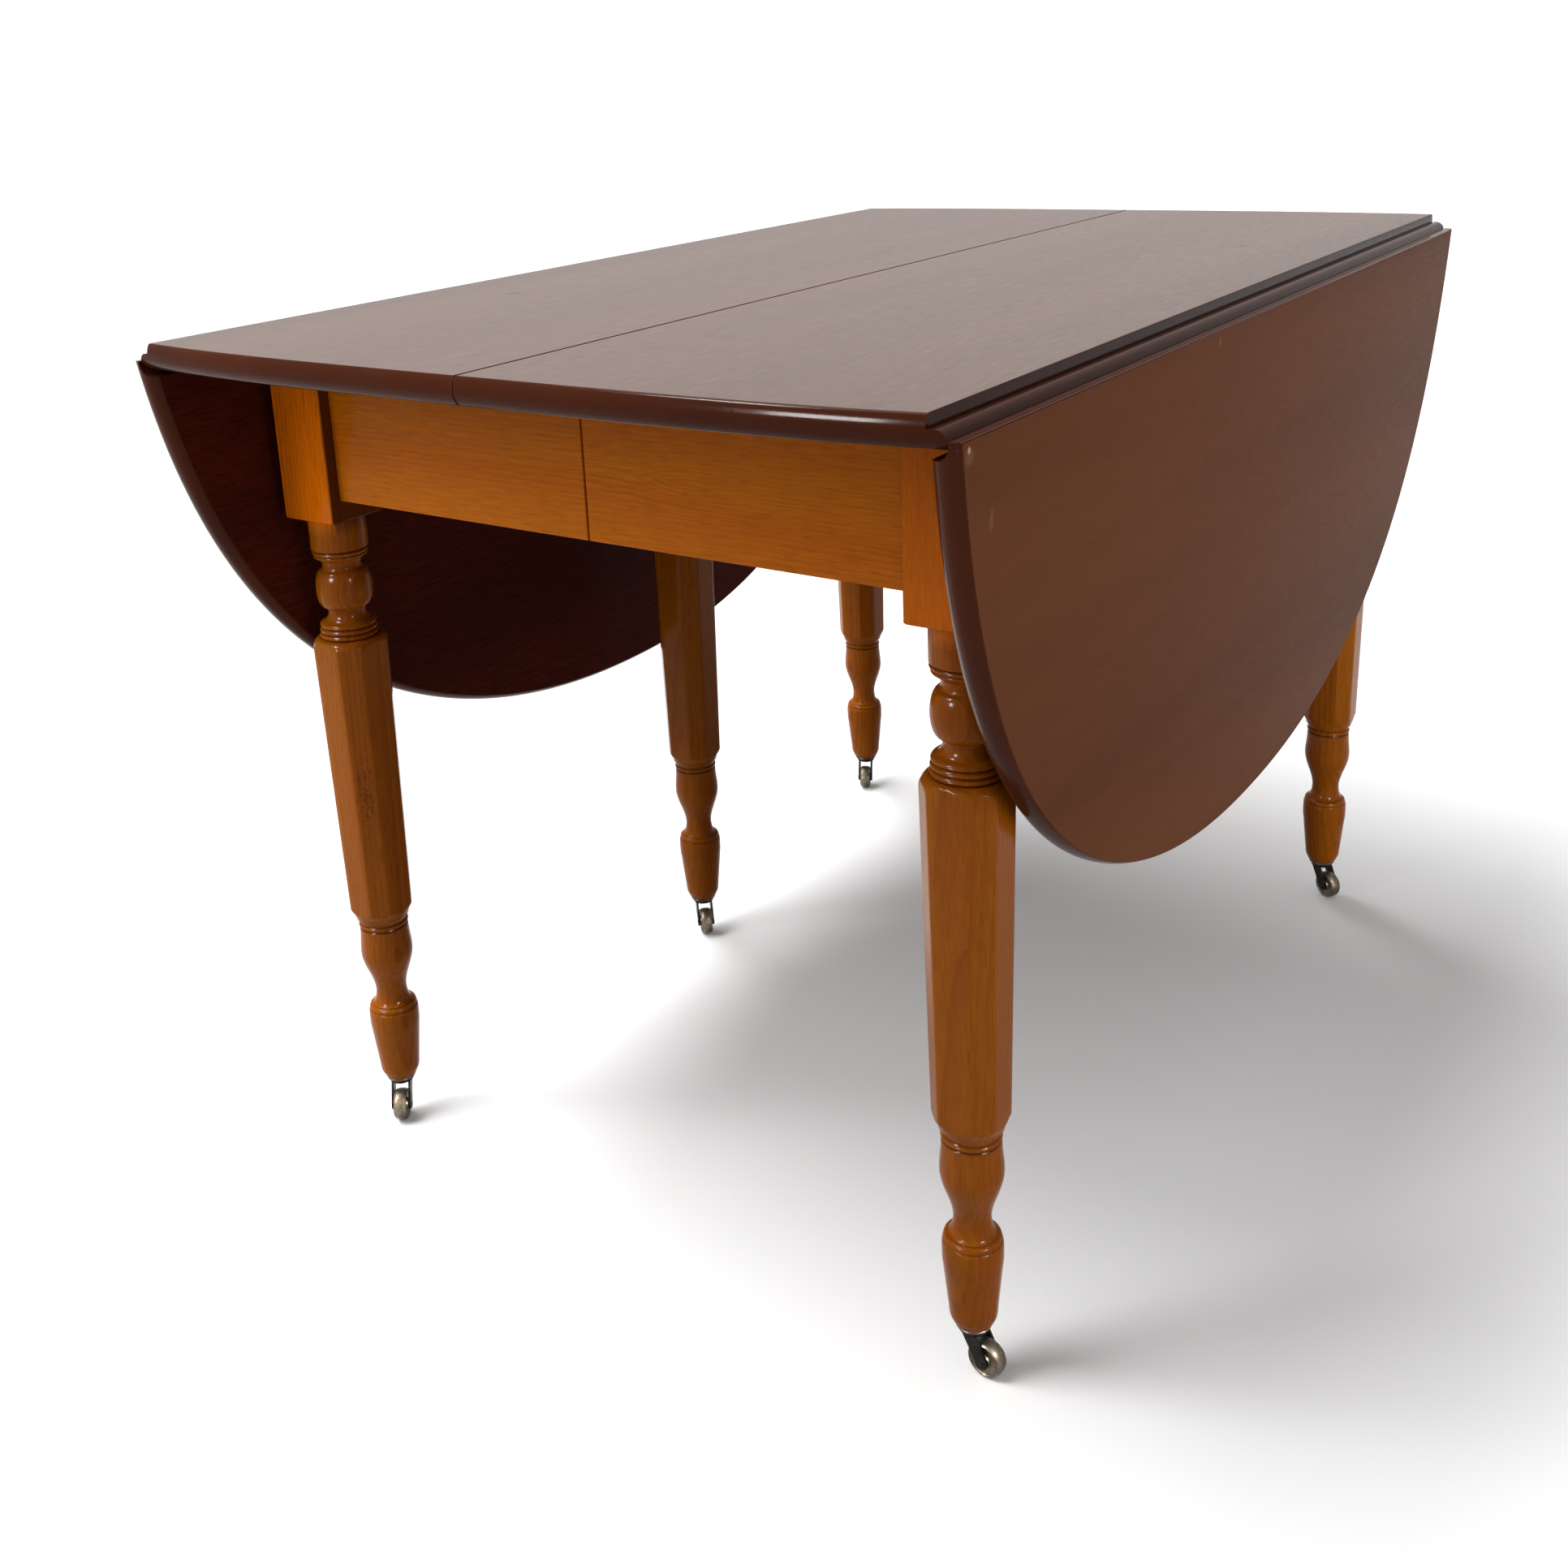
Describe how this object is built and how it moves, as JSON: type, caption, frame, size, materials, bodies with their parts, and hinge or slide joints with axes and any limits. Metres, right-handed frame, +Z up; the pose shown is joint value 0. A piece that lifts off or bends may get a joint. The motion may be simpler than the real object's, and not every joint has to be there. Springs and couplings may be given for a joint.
{
  "type": "drop-leaf extension dining table",
  "caption": "Drop-leaf dining table: split top that draws apart on runners, D-shaped leaves hanging on rule joints, turned legs on swivelling casters.",
  "frame": {"origin": "on the floor under the middle of the top's seam", "axes": "+X across the table from the left leaf to the right one, +Y along the seam from front to back, +Z up"},
  "size_m": [0.7232, 1.11, 0.737],
  "materials": {
    "mahogany": "polished, dark red-brown",
    "cherry": "varnished, amber brown",
    "poplar": "bare, aged",
    "iron": "blackened",
    "steel": "plated, bright at the rim",
    "brass": "worn, dull"
  },
  "bodies": {
    "left_half": {"left_top": "mahogany", "left_side_rail": "cherry", "front_left_apron": "cherry", "back_left_apron": "cherry", "front_left_leg": "cherry", "back_left_leg": "cherry", "front_left_runner": "poplar", "back_left_runner": "poplar", "front_left_bar_keeper": "poplar", "back_left_bar_keeper": "poplar", "left_hinge_front_fixed_plate": "iron", "left_hinge_middle_fixed_plate": "iron", "left_hinge_back_fixed_plate": "iron", "front_left_caster_plate": "steel", "back_left_caster_plate": "steel"},
    "right_half": {"right_top": "mahogany", "right_side_rail": "cherry", "front_right_apron": "cherry", "back_right_apron": "cherry", "front_right_leg": "cherry", "back_right_leg": "cherry", "front_right_runner": "poplar", "back_right_runner": "poplar", "front_right_bar_keeper": "poplar", "back_right_bar_keeper": "poplar", "right_hinge_front_fixed_plate": "iron", "right_hinge_middle_fixed_plate": "iron", "right_hinge_back_fixed_plate": "iron", "cross_rail": "poplar", "middle_leg": "cherry", "front_seam_pin": "poplar", "middle_seam_pin": "poplar", "back_seam_pin": "poplar", "front_right_caster_plate": "steel", "back_right_caster_plate": "steel", "middle_caster_plate": "steel"},
    "left_leaf": {"left_leaf": "mahogany", "left_hinge_front_leaf_plate": "iron", "left_hinge_middle_leaf_plate": "iron", "left_hinge_back_leaf_plate": "iron"},
    "right_leaf": {"right_leaf": "mahogany", "right_hinge_front_leaf_plate": "iron", "right_hinge_middle_leaf_plate": "iron", "right_hinge_back_leaf_plate": "iron"},
    "front_left_bar": {"front_left_leaf_bar": "poplar"},
    "back_left_bar": {"back_left_leaf_bar": "poplar"},
    "front_right_bar": {"front_right_leaf_bar": "poplar"},
    "back_right_bar": {"back_right_leaf_bar": "poplar"},
    "front_left_horn": {"front_left_caster_horn": "iron"},
    "front_right_horn": {"front_right_caster_horn": "iron"},
    "back_left_horn": {"back_left_caster_horn": "iron"},
    "back_right_horn": {"back_right_caster_horn": "iron"},
    "middle_horn": {"middle_caster_horn": "iron"},
    "front_left_wheel": {"front_left_caster_wheel": "brass"},
    "front_right_wheel": {"front_right_caster_wheel": "brass"},
    "back_left_wheel": {"back_left_caster_wheel": "brass"},
    "back_right_wheel": {"back_right_caster_wheel": "brass"},
    "middle_wheel": {"middle_caster_wheel": "brass"}
  },
  "joints": [
    {"name": "extension", "type": "slide", "parent": "left_half", "child": "right_half", "axis": [1, 0, 0], "range_m": [0, 0.457]},
    {"name": "left_leaf_hinge", "type": "hinge", "parent": "left_half", "child": "left_leaf", "pos_m": [-0.3445, 0, 0.72], "axis": [0, 1, 0], "range_deg": [0, 91.9]},
    {"name": "right_leaf_hinge", "type": "hinge", "parent": "right_half", "child": "right_leaf", "pos_m": [0.3445, 0, 0.72], "axis": [0, -1, 0], "range_deg": [0, 91.9]},
    {"name": "front_left_bar_slide", "type": "slide", "parent": "left_half", "child": "front_left_bar", "axis": [-1, 0, 0], "range_m": [0, 0.03]},
    {"name": "back_left_bar_slide", "type": "slide", "parent": "left_half", "child": "back_left_bar", "axis": [-1, 0, 0], "range_m": [0, 0.03]},
    {"name": "front_right_bar_slide", "type": "slide", "parent": "right_half", "child": "front_right_bar", "axis": [1, 0, 0], "range_m": [0, 0.03]},
    {"name": "back_right_bar_slide", "type": "slide", "parent": "right_half", "child": "back_right_bar", "axis": [1, 0, 0], "range_m": [0, 0.03]},
    {"name": "front_left_swivel", "type": "hinge", "parent": "left_half", "child": "front_left_horn", "pos_m": [-0.2957, -0.41457, 0.0375], "axis": [0, 0, 1], "continuous": true},
    {"name": "front_right_swivel", "type": "hinge", "parent": "right_half", "child": "front_right_horn", "pos_m": [0.2957, -0.41457, 0.0375], "axis": [0, 0, 1], "continuous": true},
    {"name": "back_left_swivel", "type": "hinge", "parent": "left_half", "child": "back_left_horn", "pos_m": [-0.2957, 0.41457, 0.0375], "axis": [0, 0, 1], "continuous": true},
    {"name": "back_right_swivel", "type": "hinge", "parent": "right_half", "child": "back_right_horn", "pos_m": [0.2957, 0.41457, 0.0375], "axis": [0, 0, 1], "continuous": true},
    {"name": "middle_swivel", "type": "hinge", "parent": "right_half", "child": "middle_horn", "pos_m": [-0.2551, 0, 0.0375], "axis": [0, 0, 1], "continuous": true},
    {"name": "front_left_roll", "type": "hinge", "parent": "front_left_horn", "child": "front_left_wheel", "pos_m": [-0.28923, -0.42347, 0.014], "axis": [0.809, 0.5878, 0], "continuous": true},
    {"name": "front_right_roll", "type": "hinge", "parent": "front_right_horn", "child": "front_right_wheel", "pos_m": [0.30666, -0.41553, 0.014], "axis": [0.0872, 0.9962, 0], "continuous": true},
    {"name": "back_left_roll", "type": "hinge", "parent": "back_left_horn", "child": "back_left_wheel", "pos_m": [-0.29105, 0.4046, 0.014], "axis": [0.9063, 0.4226, 0], "continuous": true},
    {"name": "back_right_roll", "type": "hinge", "parent": "back_right_horn", "child": "back_right_wheel", "pos_m": [0.30523, 0.40907, 0.014], "axis": [0.5, 0.866, 0], "continuous": true},
    {"name": "middle_roll", "type": "hinge", "parent": "middle_horn", "child": "middle_wheel", "pos_m": [-0.24732, -0.00778, 0.014], "axis": [0.7071, 0.7071, 0], "continuous": true}
  ]
}
